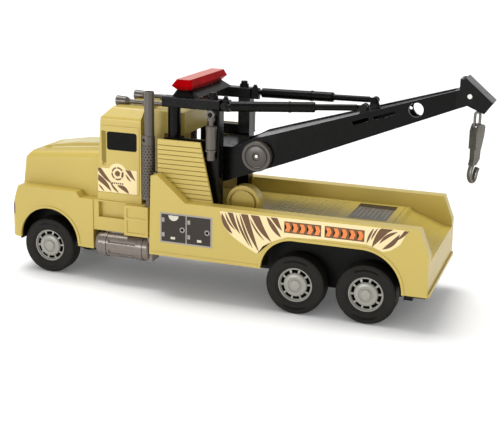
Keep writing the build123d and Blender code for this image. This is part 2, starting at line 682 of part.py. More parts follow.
ROOT_R = 20.0
BOOM_SIDE = [(104, 148), (80, 148), (71, 151.6), (62, boom_top(62)), (-132.5, boom_top(-132.5)),
             (-132.5, 226), (-137, 226), (-162.5, 204.5), (-156, 195.3), (-140.2, 201.9), (10, 142.2),
             (92, 111.2), (96.9, 109.4)]
BOTTOM_EDGE = [(-140.2, 201.9), (10, 142.2), (92, 111.2)]
CORE = [(130, 80), (130, 148 - WEB_DROP - WEB), (80.5, 148 - WEB_DROP - WEB),
        (61.5, boom_top(61.5) - WEB_DROP - WEB), (-134.6, boom_top(-134.6) - WEB_DROP - WEB),
        (-134.6, 230), (-180, 230), (-180, 180), (-60, 80)]
TROUGH = [(79.5, 148 - WEB_DROP), (62, boom_top(62) - WEB_DROP), (-128, boom_top(-128) - WEB_DROP),
          (-128, 240), (79.5, 240)]


def boom_plan(inset):
    """Plan outline of the boom: parallel at its root, then narrowing to the tip."""
    with BuildLine() as edge:
        Polyline((fore(130), BOOM_HALF - inset), (fore(35), BOOM_HALF - inset),
                 (fore(-130), BOOM_TIP_HALF - inset), (fore(-170), BOOM_TIP_HALF - inset),
                 (fore(-170), inset - BOOM_TIP_HALF), (fore(-130), inset - BOOM_TIP_HALF),
                 (fore(35), inset - BOOM_HALF), (fore(130), inset - BOOM_HALF), close=True)
    make_face(edge.edges())


def boom_slice(points, inset):
    """The part of the boom's inside or outside that a side-view outline and the plan share."""
    with BuildPart() as room:
        with BuildSketch(Plane.XZ):
            outline(points)
        extrude(amount=40, both=True)
        with BuildSketch(Plane.XY):
            boom_plan(inset)
        extrude(amount=260, mode=Mode.INTERSECT)
    return room.part


def edge_band(points, height):
    """A narrow side-view band along a line, standing up or down from it."""
    return points + [(d, z + height) for d, z in reversed(points)]


with BuildPart() as boom:
    with BuildSketch(Plane.XZ):
        outline(BOOM_SIDE)
        with Locations((fore(PIVOT[0]), PIVOT[1])):
            Circle(ROOT_R)
    extrude(amount=40, both=True)
    with BuildSketch(Plane.XY):
        boom_plan(0)
    extrude(amount=260, mode=Mode.INTERSECT)
    # Narrow flanges along the plates' upper and lower edges.
    add(boom_slice(edge_band(BOTTOM_EDGE, 1.5), -FLANGE))
    add(boom_slice(edge_band([(-126, boom_top(-126)), (62, boom_top(62))], -1.5), -FLANGE))
    add(boom_slice(CORE, BOOM_PLATE), mode=Mode.SUBTRACT)
    add(boom_slice(TROUGH, BOOM_PLATE), mode=Mode.SUBTRACT)
    # Slots through both plates, and a lightening hole in each.
    for side in SIDES.values():
        with BuildSketch(Plane.XZ.offset(-side * 8)):
            for d, z, length, height in SLOTS:
                with Locations(Location((fore(d), z), SLOT_TURN)):
                    SlotOverall(length, height)
        extrude(amount=-side * 30, mode=Mode.SUBTRACT)
    cross_rod(*NEAR_HOLE, 0, 40, Mode.SUBTRACT)
    cross_rod(*FAR_HOLE, -40, 0, Mode.SUBTRACT)
    cross_rod(-84.4, 191.9, 1.6, -40, 0, Mode.SUBTRACT)
    # Cord slot in the web near the tip.
    side_box(-136, -48, -3, 3, 180, 217.5, Mode.SUBTRACT)
    # Cross ribs low in the channel, clear of the cord.
    cross_rod(20, 142.5, 1.8, -29, 29)
    cross_rod(-38, 165.2, 1.8, -20, 20)
    # Ears for the cylinder rods.
    for side in SIDES.values():
        with BuildSketch(Plane.XZ.offset(-side * 18.2)):
            with Locations((fore(ROD_PIN[0]), ROD_PIN[2])):
                Circle(EYE_R)
            with BuildLine() as edge:
                Polyline(*place([(ROD_PIN[0] + EYE_R, ROD_PIN[2]), (ROD_PIN[0] - EYE_R, ROD_PIN[2]),
                                 (-55, 187), (-41, 183)]), close=True)
            make_face(edge.edges())
        extrude(amount=-side * 2)
    # Bores for the pivot, the winch shaft, the tip pin and the rod pins.
    cross_rod(*PIVOT, PIVOT_R + RUNNING_GAP, -40, 40, Mode.SUBTRACT)
    cross_rod(*WINCH, WINCH_SHAFT_R + RUNNING_GAP, -40, 40, Mode.SUBTRACT)
    cross_rod(*TIP_PIN, PIN_R, -40, 40, Mode.SUBTRACT)
    cross_rod(ROD_PIN[0], ROD_PIN[2], PIN_R, -40, 40, Mode.SUBTRACT)
save(boom.part, "boom")

with BuildPart() as tip_cover:
    # Cover plate over the slanted end of the head.
    with BuildSketch(Plane.XZ):
        outline([(-137, 226.1), (-137, 227.2), (-137.9, 227.2), (-163.6, 205.6), (-162.6, 204.6)])
    extrude(amount=13, both=True)
save(tip_cover.part, "tip_cover")

with BuildPart() as boom_pin:
    cross_rod(*PIVOT, PIVOT_R - 0.02, -TOWER_HALF, TOWER_HALF)
save(boom_pin.part, "boom_pin")

with BuildPart() as rod_pins:
    for side in SIDES.values():
        cross_rod(ROD_PIN[0], ROD_PIN[2], PIN_R - 0.02, side * 17.6, side * 27.6)
        cross_rod(ROD_PIN[0], ROD_PIN[2], 3.1, side * 27.4, side * 28.4)
        cross_rod(ROD_PIN[0], ROD_PIN[2], 2.4, side * 17, side * 18.1)
save(rod_pins.part, "rod_pins")

with BuildPart() as tip_pin:
    cross_rod(*TIP_PIN, PIN_R - 0.02, -12.2, 12.2)
    cross_rod(*TIP_PIN, 2.2, 12.05, 13)
    cross_rod(*TIP_PIN, 2.2, -13, -12.05)
save(tip_pin.part, "tip_pin")

with BuildPart() as tip_roller:
    cross_rod(*TIP_PIN, ROLLER_R, -1.6, 1.6)
    cross_rod(*TIP_PIN, ROLLER_R + 2, -2.8, -1.5)
    cross_rod(*TIP_PIN, ROLLER_R + 2, 1.5, 2.8)
    cross_rod(*TIP_PIN, 2.6, -9, 9)
    cross_rod(*TIP_PIN, PIN_R + RUNNING_GAP, -10, 10, Mode.SUBTRACT)
save(tip_roller.part, "tip_roller")


# ---------------------------------------------------------------- winch and cord
with BuildPart() as winch_shaft:
    cross_rod(*WINCH, WINCH_SHAFT_R, -32, 34.6)
    cross_rod(*WINCH, 3.4, -32, -30.5)
save(winch_shaft.part, "winch_shaft")

with BuildPart() as winch_knob:
    cross_rod(*WINCH, KNOB_R - 0.6, 30.6, 31.4)
    cross_rod(*WINCH, KNOB_R, 31.4, 37)
    # Dished face: a groove inside the rim, and a well round the screw.
    cross_rod(*WINCH, KNOB_R - 3.2, 34, 38, Mode.SUBTRACT)
    cross_rod(*WINCH, KNOB_R - 4.4, 33, 35.6)
    cross_rod(*WINCH, 3.1, 33.6, 36, Mode.SUBTRACT)
    with BuildSketch(Plane.XZ.offset(-30)) as teeth:
        with Locations((fore(WINCH[0]), WINCH[1])):
            with PolarLocations(KNOB_R + 0.2, 36):
                Circle(0.6)
    extrude(teeth.sketch, amount=-8, mode=Mode.SUBTRACT)
    # Pointer notch in the rim.
    side_box(WINCH[0] - 1.3, WINCH[0] + 1.3, 35, 38, WINCH[1] - KNOB_R - 1, WINCH[1] - KNOB_R + 4,
             Mode.SUBTRACT)
    cross_rod(*WINCH, WINCH_SHAFT_R + 0.02, 20, 36, Mode.SUBTRACT)
save(winch_knob.part, "winch_knob")

with BuildPart() as winch_drum:
    cross_rod(*WINCH, 4.4, -13, 13)
    for y in (-13, 11.4):
        cross_rod(*WINCH, 9.5, y, y + 1.6)
    cross_rod(*WINCH, WINCH_SHAFT_R + 0.02, -14, 14, Mode.SUBTRACT)
save(winch_drum.part, "winch_drum")

with BuildPart() as winch_coil:
    with BuildSketch(Plane.XY.offset(WINCH[1])) as section:
        with BuildLine() as edge:
            wraps = [(COIL_R - 0.45 * (step % 2), (step - 8) * CORD_R) for step in range(17)]
            rim_points = [(4.42, 6.4), (4.42, -6.4)]
            Polyline(*[(fore(WINCH[0]) + radius, y) for radius, y in wraps + rim_points], close=True)
        make_face(edge.edges())
    revolve(section.sketch, axis=Axis((fore(WINCH[0]), 0, WINCH[1]), (0, 1, 0)))
save(winch_coil.part, "winch_coil")

# The taut cord leaves the top of the coil and lies over the top of the roller.
COIL_WRAP = COIL_R + CORD_GAP + CORD_R
ROLLER_WRAP = ROLLER_R + CORD_GAP + CORD_R
RUN = hypot(WINCH[0] - TIP_PIN[0], TIP_PIN[1] - WINCH[1])
CORD_TILT = atan2(TIP_PIN[1] - WINCH[1], WINCH[0] - TIP_PIN[0]) + atan2(ROLLER_WRAP - COIL_WRAP, RUN)


def tangent_point(centre, radius):
    return (centre[0] + radius * sin(CORD_TILT), centre[1] + radius * cos(CORD_TILT))


with BuildPart() as winch_cord:
    with BuildLine(Plane.XZ) as route:
        start = tangent_point(WINCH, COIL_WRAP)
        over = tangent_point(TIP_PIN, ROLLER_WRAP)
        middle = (TIP_PIN[0] - ROLLER_WRAP * sin(radians(38)), TIP_PIN[1] + ROLLER_WRAP * cos(radians(38)))
        down = (TIP_PIN[0] - ROLLER_WRAP, TIP_PIN[1])
        Line(*place([start, over]))
        ThreePointArc(*place([over, middle, down]))
    with BuildSketch(Plane(origin=route.line @ 0, z_dir=route.line % 0)) as section:
        Circle(CORD_R)
    sweep(section.sketch, path=route.line)
save(winch_cord.part, "winch_cord")


# ---------------------------------------------------------------- hook
DROP = TIP_PIN[0] - ROLLER_WRAP
KNOT_Z = (196.3, 199.3)
HOOK_PIN_Z = 181.8
HOOK_TURN = radians(48)
HOOK_PLANE = Plane(origin=(fore(DROP), 0, 0), x_dir=(cos(HOOK_TURN), sin(HOOK_TURN), 0),
                   z_dir=(sin(HOOK_TURN), -cos(HOOK_TURN), 0))

with BuildPart() as drop_cord:
    with Locations((fore(DROP), 0, KNOT_Z[1])):
        Cylinder(CORD_R, TIP_PIN[1] - KNOT_Z[1], align=(Align.CENTER, Align.CENTER, Align.MIN))
save(drop_cord.part, "drop_cord")

with BuildPart() as cord_knot:
    with Locations((fore(DROP), 0, KNOT_Z[0])):
        Cylinder(1.7, KNOT_Z[1] - KNOT_Z[0], align=(Align.CENTER, Align.CENTER, Align.MIN))
    fillet(cord_knot.edges(), radius=0.7)
save(cord_knot.part, "cord_knot")

with BuildPart() as hook_link:
    # A long ring of round bar in the truck's side plane.
    link_plane = Plane(origin=(fore(DROP), 0, 0), x_dir=(1, 0, 0), z_dir=(0, -1, 0))
    with BuildLine(link_plane) as route:
        Line((2.3, 188), (2.3, 192.7))
        ThreePointArc((2.3, 192.7), (0, 195), (-2.3, 192.7))
        Line((-2.3, 192.7), (-2.3, 181.7))
        ThreePointArc((-2.3, 181.7), (0, 179.4), (2.3, 181.7))
        Line((2.3, 181.7), (2.3, 188))
    with BuildSketch(Plane(origin=route.line @ 0, z_dir=route.line % 0)) as section:
        Circle(1.25)
    sweep(section.sketch, path=route.line)
save(hook_link.part, "hook_link")

BLOCK = [(1.8, 184), (3.9, 177.5), (3.7, 160.5), (-2.9, 160.5), (-5.6, 174.4), (-6, 182), (-4.8, 184)]
NECK = [(-4.2, 160.5), (3.5, 160.5), (3.2, 151), (4.4, 145), (-0.4, 146), (-3.9, 151.6)]
J_BEND = [(1.9, 147.5), (3.6, 142), (4.4, 137.2), (3.6, 132.6), (1.3, 129.9), (-1, 131.6), (-2.2, 135.6),
          (-3, 139), (-4.6, 142.4)]
with BuildPart() as hook_block:
    with BuildSketch(HOOK_PLANE):
        with BuildLine():
            Polyline(*BLOCK, close=True)
        make_face()
    extrude(amount=5, both=True)
    # Pocket and pin bore for the link.
    with Locations((fore(DROP), 0, 182.5)):
        Box(7.8, 3.1, 9.6, mode=Mode.SUBTRACT)
    cross_rod(DROP, HOOK_PIN_Z, 0.92, -3.5, 3.5, Mode.SUBTRACT)
save(hook_block.part, "hook_block")

with BuildPart() as hook_pin:
    cross_rod(DROP, HOOK_PIN_Z, 0.9, -3.4, 3.4)
save(hook_pin.part, "hook_pin")

with BuildPart() as hook:
    with BuildLine(HOOK_PLANE) as route:
        Spline(*J_BEND)
    with BuildSketch(Plane(origin=route.line @ 0, x_dir=HOOK_PLANE.z_dir, z_dir=route.line % 0)) as section:
        Ellipse(3.1, 1.9)
    sweep(section.sketch, path=route.line)
    with BuildSketch(HOOK_PLANE) as neck:
        with BuildLine() as edge:
            Polyline(*NECK, close=True)
        make_face(edge.edges())
    extrude(neck.sketch, amount=3.2, both=True)
save(hook.part, "hook")


# ---------------------------------------------------------------- boom cylinders
for name, side in SIDES.items():
    root = Vector(fore(SLEEVE_PIN[0]), side * SLEEVE_PIN[1], SLEEVE_PIN[2])
    end = Vector(fore(ROD_PIN[0]), side * ROD_PIN[1], ROD_PIN[2])
    eye = (side * (ROD_PIN[1] - EYE_W / 2), side * (ROD_PIN[1] + EYE_W / 2))
    along = Plane(origin=root, x_dir=(0, 1, 0), z_dir=end - root)
    with BuildPart() as cylinder:
        with BuildSketch(along.offset(6)) as barrel:
            Circle(SLEEVE_R)
        extrude(barrel.sketch, amount=80)
        with BuildSketch(along.offset(61)) as collar:
            Circle(SLEEVE_R + 0.5)
        extrude(collar.sketch, amount=2)
        chamfer(cylinder.edges().group_by(Axis.X)[0], length=1)
        with BuildSketch(along) as neck:
            Circle(1.9)
        extrude(neck.sketch, amount=8)
        cross_rod(SLEEVE_PIN[0], SLEEVE_PIN[2], 3.9, side * 45, side * 49.9)
        cross_rod(SLEEVE_PIN[0], SLEEVE_PIN[2], PIN_R + RUNNING_GAP, side * 40, side * 52, Mode.SUBTRACT)
        with BuildSketch(along.offset(44)) as bore:
            Circle(ROD_R + RUNNING_GAP)
        extrude(bore.sketch, amount=50, mode=Mode.SUBTRACT)
    save(cylinder.part, f"cylinder_sleeve_{name}")
    with BuildPart() as rod:
        with BuildSketch(along.offset(56)) as bar:
            Circle(ROD_R)
        extrude(bar.sketch, amount=(end - root).length - 56 - 6.5)
        # Flat eye beside the boom's ear, with room round the pin.
        side_box(ROD_PIN[0], ROD_PIN[0] + 9, *eye, ROD_PIN[2] - 2.2, ROD_PIN[2] + 2)
        cross_rod(ROD_PIN[0], ROD_PIN[2], EYE_R, *eye)
        cross_rod(ROD_PIN[0], ROD_PIN[2], PIN_R + 1, side * 20, side * 32, Mode.SUBTRACT)
    save(rod.part, f"cylinder_rod_{name}")
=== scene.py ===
"""Looks of the toy tow truck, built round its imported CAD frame. All lengths are in metres."""

from math import cos, pi, radians, sin

import bmesh
import bpy
from mathutils import Matrix, Vector
from mathutils.bvhtree import BVHTree


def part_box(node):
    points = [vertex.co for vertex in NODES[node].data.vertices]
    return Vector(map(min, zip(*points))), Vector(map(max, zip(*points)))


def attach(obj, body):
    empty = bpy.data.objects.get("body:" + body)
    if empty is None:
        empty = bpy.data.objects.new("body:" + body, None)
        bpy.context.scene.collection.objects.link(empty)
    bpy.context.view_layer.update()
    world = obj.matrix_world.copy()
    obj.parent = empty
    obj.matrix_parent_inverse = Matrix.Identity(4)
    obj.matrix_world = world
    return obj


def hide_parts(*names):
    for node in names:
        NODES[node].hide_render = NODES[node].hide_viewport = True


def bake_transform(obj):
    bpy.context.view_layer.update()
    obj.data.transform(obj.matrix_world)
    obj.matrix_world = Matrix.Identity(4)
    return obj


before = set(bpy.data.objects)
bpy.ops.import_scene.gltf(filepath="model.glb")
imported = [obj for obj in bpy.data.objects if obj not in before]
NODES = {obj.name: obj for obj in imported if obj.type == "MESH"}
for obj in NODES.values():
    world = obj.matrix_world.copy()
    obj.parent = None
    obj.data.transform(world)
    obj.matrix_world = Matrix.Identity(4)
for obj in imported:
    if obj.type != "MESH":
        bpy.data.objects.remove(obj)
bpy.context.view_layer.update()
SIDES = {"left": 1, "right": -1}
AXLES = ("front", "middle", "rear")
MM = 0.001


# ---------------------------------------------------------------- camera
CAMERA_AT = Vector((-0.3367, 0.9446, 0.3519))
CAMERA_YAW = radians(19.21)
CAMERA_PITCH = radians(15.6)
CAMERA_ROLL = radians(1.21)
CAMERA_LENS = 73.255


def make_camera():
    """A camera at the left rear, turned by yaw, tipped down by pitch, then rolled."""
    ahead = Vector((sin(CAMERA_YAW), -cos(CAMERA_YAW), 0))
    right = Vector((-cos(CAMERA_YAW), -sin(CAMERA_YAW), 0))
    up = Vector((0, 0, 1))
    look = cos(CAMERA_PITCH) * ahead - sin(CAMERA_PITCH) * up
    lift = sin(CAMERA_PITCH) * ahead + cos(CAMERA_PITCH) * up
    across = cos(CAMERA_ROLL) * right + sin(CAMERA_ROLL) * lift
    upright = cos(CAMERA_ROLL) * lift - sin(CAMERA_ROLL) * right
    camera = bpy.data.objects.new("camera", bpy.data.cameras.new("camera"))
    bpy.context.scene.collection.objects.link(camera)
    turn = Matrix((across, upright, -look)).transposed()
    camera.matrix_world = Matrix.Translation(CAMERA_AT) @ turn.to_4x4()
    camera.data.lens = CAMERA_LENS
    camera.data.sensor_width = 36
    camera.data.sensor_fit = "HORIZONTAL"
    camera.data.clip_start = 0.02
    bpy.context.scene.camera = camera


# ---------------------------------------------------------------- stage and light
# Name, place it shines from, spread in degrees, power.
LIGHTS = (("side", (0.35, 1.0, 0.03), 20, 1.3), ("top", (0.3, -0.12, 1.0), 35, 2.1))
# The sky's strength goes from the third number to the fourth between these two heights of view.
SKY_FADE = (0.1, 0.4, 1.0, 0.55)
FLOOR_CORNERS = [(-6, -8, 0), (6, -8, 0), (6, 6, 0), (-6, 6, 0)]
FLOOR_GLOW = 0.06


def make_stage():
    """A white floor, a low soft light from the left and one from above, under a white sky."""
    scene = bpy.context.scene
    scene.view_settings.view_transform = "Standard"
    world = bpy.data.worlds.new("studio")
    scene.world = world
    world.use_nodes = True
    tree = world.node_tree
    sky = tree.nodes["Background"]
    sky.inputs["Color"].default_value = (1, 1, 1, 1)
    way = tree.nodes.new("ShaderNodeTexCoord")
    parts = tree.nodes.new("ShaderNodeSeparateXYZ")
    fade = tree.nodes.new("ShaderNodeMapRange")
    tree.links.new(way.outputs["Generated"], parts.inputs[0])
    tree.links.new(parts.outputs["Z"], fade.inputs[0])
    for index, number in enumerate(SKY_FADE, 1):
        fade.inputs[index].default_value = number
    tree.links.new(fade.outputs[0], sky.inputs["Strength"])

    mesh = bpy.data.meshes.new("floor")
    mesh.from_pydata(FLOOR_CORNERS, [], [(0, 1, 2, 3)])
    floor = bpy.data.objects.new("floor", mesh)
    scene.collection.objects.link(floor)
    white = bpy.data.materials.new("floor_white")
    white.use_nodes = True
    shader = white.node_tree.nodes["Principled BSDF"]
    shader.inputs["Base Color"].default_value = (0.95, 0.95, 0.95, 1)
    shader.inputs["Roughness"].default_value = 0.9
    shader.inputs["Specular IOR Level"].default_value = 0.1
    shader.inputs["Emission Color"].default_value = (1, 1, 1, 1)
    shader.inputs["Emission Strength"].default_value = FLOOR_GLOW
    mesh.materials.append(white)

    for name, place, spread, power in LIGHTS:
        data = bpy.data.lights.new(name, "SUN")
        data.angle = radians(spread)
        data.energy = power
        light = bpy.data.objects.new(name, data)
        scene.collection.objects.link(light)
        light.location = place
        light.rotation_euler = (-Vector(place)).to_track_quat("-Z", "Y").to_euler()


# ---------------------------------------------------------------- materials
class Graph:
    """A material's node tree, with short calls for the nodes used here."""

    def __init__(self, name):
        self.material = bpy.data.materials.new(name)
        self.material.use_nodes = True
        self.tree = self.material.node_tree
        self.shader = self.tree.nodes["Principled BSDF"]
        self.where = self.node("ShaderNodeTexCoord").outputs["Object"]

    def node(self, kind, **sockets):
        made = self.tree.nodes.new(kind)
        for name, value in sockets.items():
            self.feed(made.inputs[name], value)
        return made

    def feed(self, socket, value):
        if isinstance(value, bpy.types.NodeSocket):
            self.tree.links.new(value, socket)
        else:
            socket.default_value = value

    def noise(self, scale, detail, roughness=0.5):
        made = self.node("ShaderNodeTexNoise", Vector=self.where, Scale=scale, Detail=detail,
                         Roughness=roughness)
        return made.outputs["Fac"]

    def ramp(self, value, low, high, out_low=0.0, out_high=1.0):
        """Value taken from low..high to out_low..out_high, and held there outside."""
        made = self.node("ShaderNodeMapRange")
        for index, number in enumerate((value, low, high, out_low, out_high)):
            self.feed(made.inputs[index], number)
        return made.outputs[0]

    def mix(self, share, first, second):
        made = self.tree.nodes.new("ShaderNodeMix")
        made.data_type = "RGBA"
        self.feed(made.inputs[0], share)
        self.feed(made.inputs[6], first)
        self.feed(made.inputs[7], second)
        return made.outputs[2]

    def bump(self, height, distance, strength):
        made = self.node("ShaderNodeBump", Height=height, Distance=distance, Strength=strength)
        self.tree.links.new(made.outputs["Normal"], self.shader.inputs["Normal"])

    def set(self, **sockets):
        for name, value in sockets.items():
            self.feed(self.shader.inputs[name.replace("_", " ")], value)
        return self


def rgb(red, green, blue):
    """A linear colour from one in screen values of 0 to 255."""
    def straight(value):
        value /= 255
        return value / 12.92 if value <= 0.04045 else ((value + 0.055) / 1.055) ** 2.4
    return (straight(red), straight(green), straight(blue), 1)


DRIFT_SCALE = 9
SCUFF_SCALE = 140
SCUFF_ROUGHER = 0.14
GRAIN_SCALE = 900
GRAIN_DEPTH = 0.00006


def moulded_plastic(name, colour, shade, roughness, gloss=0.5):
    """Moulded plastic: slow drift between two colours, faint scuffs and a fine surface grain."""
    graph = Graph(name)
    graph.shader.inputs["Specular IOR Level"].default_value = gloss
    drift = graph.ramp(graph.noise(DRIFT_SCALE, 4), 0.35, 0.7)
    graph.feed(graph.shader.inputs["Base Color"], graph.mix(drift, colour, shade))
    rough = graph.noise(SCUFF_SCALE, 6, 0.7)
    scuff = graph.ramp(rough, 0.45, 0.75, roughness, roughness + SCUFF_ROUGHER)
    graph.feed(graph.shader.inputs["Roughness"], scuff)
    graph.bump(graph.noise(GRAIN_SCALE, 2), GRAIN_DEPTH, 0.35)
    return graph


def plain(name, colour, roughness, gloss=0.4, spread=0.86):
    """A printed or moulded colour, whose second shade is that share of it."""
    shade = tuple(value * spread for value in colour[:3]) + (1,)
    return moulded_plastic(name, colour, shade, roughness, gloss=gloss).material


def lens(name, colour, shade, top):
    """Clear coloured plastic, with a paler colour painted on faces that point up: painted light, as if
    light fell through it from above.
    """
    graph = moulded_plastic(name, colour, shade, 0.12, gloss=0.01)
    normal = graph.node("ShaderNodeNewGeometry").outputs["Normal"]
    facing = graph.node("ShaderNodeSeparateXYZ", Vector=normal)
    # Faces that point up take the paler top colour: painted light.
    painted_light_share = graph.ramp(facing.outputs["Z"], 0.9, 0.98)
    body = graph.mix(graph.ramp(graph.noise(30, 4), 0.35, 0.7), colour, shade)
    graph.feed(graph.shader.inputs["Base Color"], graph.mix(painted_light_share, body, top))
    return graph.material


def metallic(name, colour, shade, roughness, share, gloss=0.5):
    """A metal-like finish: share is how much of it is metal."""
    return moulded_plastic(name, colour, shade, roughness, gloss).set(Metallic=share).material


SAND = plain("sand_plastic", rgb(194, 171, 82), 0.34, 0.55, 0.94)
# A darker sand for painted shade: the shadow lines under the louvres and the shaded slot before the door
# window.
SAND_PAINTED_SHADE = plain("sand_painted_shadow", rgb(136, 118, 50), 0.5, 0.2)
BLACK = plain("black_gloss", rgb(10, 9, 8), 0.22, 0.13)
MATTE = plain("black_matte", rgb(14, 13, 12), 0.5, 0.12)
# Near-black painted shade for the rims' sunk windows and the holes round the exhaust stacks.
HOLE_SHADE = plain("painted_hole_shade", rgb(8, 8, 7), 0.7, 0.05)
GREY = plain("gunmetal_plastic", rgb(80, 71, 62), 0.28, 0.7, 0.75)
HOOK_GREY = metallic("hook_plastic", rgb(112, 110, 102), rgb(66, 65, 60), 0.24, 0.5, 0.6)
KNOB = plain("knob_plastic", rgb(72, 65, 57), 0.3, 0.5, 0.75)
TANK = metallic("tank_plastic", rgb(126, 116, 108), rgb(104, 96, 90), 0.26, 0.45, 0.7)
RIM = plain("rim_paint", rgb(154, 152, 142), 0.28, 0.7)
RUBBER = plain("tyre_rubber", rgb(28, 26, 22), 0.5, 0.16)
# The beacon's lens; its third colour is the painted light on its upward faces.
RED = lens("red_lens", rgb(176, 3, 8), rgb(132, 2, 6), rgb(204, 120, 110))
SMOKED = plain("smoked_window", rgb(9, 8, 7), 0.15, 0.12)
STEEL = metallic("steel", rgb(196, 194, 188), rgb(180, 178, 172), 0.25, 1.0)
CORD = plain("black_cord", rgb(24, 23, 22), 0.7, 0.2)
LAMP = plain("lamp_print", rgb(84, 26, 22), 0.3)
CREAM = plain("sticker_cream", rgb(238, 218, 165), 0.3, 0.4, 0.96)
BROWN = plain("sticker_brown", rgb(104, 70, 40), 0.3)
ORANGE = plain("sticker_orange", rgb(232, 132, 62), 0.3)
PANEL = plain("sticker_dark", rgb(52, 45, 38), 0.3, 0.25)
SILVER = plain("sticker_silver", rgb(160, 152, 144), 0.3, 0.5)
PALE = plain("sticker_pale", rgb(216, 214, 196), 0.3)
BONNET_PRINT = plain("bonnet_print", rgb(204, 194, 142), 0.3, 0.4, 0.94)
SLATE = plain("sticker_slate", rgb(104, 101, 98), 0.3)
TREAD = plain("tread_print", rgb(176, 168, 128), 0.4, 0.4)

# A name that ends in _ stands for every node whose name starts with it.
FINISHES = {
    SAND: ("cab_shell", "bed_floor", "bed_side_"),
    BLACK: ("tower_side_", "tower_bolts", "boom", "winch_drum", "cylinder_", "tip_roller", "tip_cover",
            "rod_pins", "sleeve_pins", "beacon_base"),
    MATTE: ("chassis", "grille"),
    GREY: ("exhaust_stack_", "air_horn_", "canister_"),
    TANK: ("side_tank_",),
    KNOB: ("winch_knob",),
    HOOK_GREY: ("hook_block", "hook", "hook_link"),
    RIM: ("rim_",),
    RUBBER: ("tyre_",),
    RED: ("beacon_lens",),
    SMOKED: ("window_glazing",),
    STEEL: ("chassis_screws", "front_axle", "middle_axle", "rear_axle", "boom_pin", "tip_pin",
            "winch_shaft", "hook_pin"),
    CORD: ("winch_coil", "winch_cord", "drop_cord", "cord_knot"),
    LAMP: ("headlamp_",),
}


def finish_of(node):
    """A node's own finish, or that of the group whose name it starts with."""
    for material, names in FINISHES.items():
        if node in names:
            return material
    for material, names in FINISHES.items():
        if any(name.endswith("_") and node.startswith(name) for name in names):
            return material
    raise ValueError(node)


def paint_nodes():
    for name, node in NODES.items():
        node.data.materials.clear()
        node.data.materials.append(finish_of(name))


# ---------------------------------------------------------------- making pieces
# Places are in millimetres. Ahead counts forward from the middle wheels' axle.
AHEAD = -76.8
BED_Y = 72.0
DOOR_Y = 50.0
CREASE = radians(38)
PRINT = 0.1
INK = 0.16
TOP_INK = 0.22


def flank(level, sign):
    """Places (ahead, up, proud) on a side of the truck at that distance from its middle."""
    return lambda ahead, up, proud: Vector((ahead + AHEAD, sign * (level + proud), up)) * MM


def deck(level):
    """Places (ahead, left, proud) on a level surface at that height."""
    return lambda ahead, left, proud: Vector((ahead + AHEAD, left, level + proud)) * MM


def wheel_face(ahead, up, sign, level):
    """Places (radius, angle, proud) on a disc that faces sideways."""
    side = flank(level, sign)
    return lambda radius, angle, proud: side(ahead + radius * cos(angle), up + radius * sin(angle), proud)


def finished(name, mesh, materials, body, smooth=False):
    """The piece made from a bmesh, riding on a body."""
    bmesh.ops.recalc_face_normals(mesh, faces=mesh.faces)
    data = bpy.data.meshes.new(name)
    mesh.to_mesh(data)
    mesh.free()
    for material in materials:
        data.materials.append(material)
    if smooth:
        data.shade_smooth()
        data.set_sharp_from_angle(angle=CREASE)
    piece = bpy.data.objects.new(name, data)
    bpy.context.scene.collection.objects.link(piece)
    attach(piece, body)
    return piece


def plates(name, outlines, place, material, low=0.0, high=PRINT, body="truck"):
    """Thin closed plates, one for each flat outline."""
    mesh = bmesh.new()
    for outline in outlines:
        rings = [[mesh.verts.new(place(*point, proud)) for point in outline] for proud in (low, high)]
        mesh.faces.new(rings[0])
        mesh.faces.new(rings[1])
        for index in range(len(outline)):
            after = (index + 1) % len(outline)
            mesh.faces.new((rings[0][index], rings[0][after], rings[1][after], rings[1][index]))
    bmesh.ops.triangulate(mesh, faces=[face for face in mesh.faces if len(face.verts) > 4])
    return finished(name, mesh, [material], body)


def leaf(start, end, width, bend, blunt, steps=8):
    """A stripe that tapers to its end, and to its start too unless blunt, bowed to one side by bend."""
    thinnest = 0.08
    start = Vector(start)
    end = Vector(end)
    along = end - start
    across = Vector((-along.y, along.x)).normalized()
    edges = [[], []]
    for step in range(steps + 1):
        share = step / steps
        middle = start + along * share + across * bend * 4 * share * (1 - share)
        profile = 1 - share ** 2.4 if blunt else max(sin(pi * share), 0) ** 0.7
        half = max(width * profile / 2, thinnest)
        edges[0].append(middle + across * half)
        edges[1].append(middle - across * half)
    return [tuple(point) for point in edges[0] + edges[1][::-1]]


def disc(centre, radius, steps=20):
    turns = [2 * pi * step / steps for step in range(steps)]
    return [(centre[0] + radius * cos(turn), centre[1] + radius * sin(turn)) for turn in turns]


def box_of(centre, wide, tall):
    """A rectangle about centre."""
    return [(centre[0] + side * wide / 2, centre[1] + up * tall / 2)
            for side, up in ((-1, -1), (1, -1), (1, 1), (-1, 1))]


def arc_band(centre, inner, outer, start, end, steps=8):
    """A piece of a flat ring, from one angle to another in degrees."""
    angles = [radians(start + (end - start) * step / steps) for step in range(steps + 1)]

    def edge(radius):
        return [(centre[0] + radius * cos(angle), centre[1] + radius * sin(angle)) for angle in angles]
    return edge(outer) + edge(inner)[::-1]


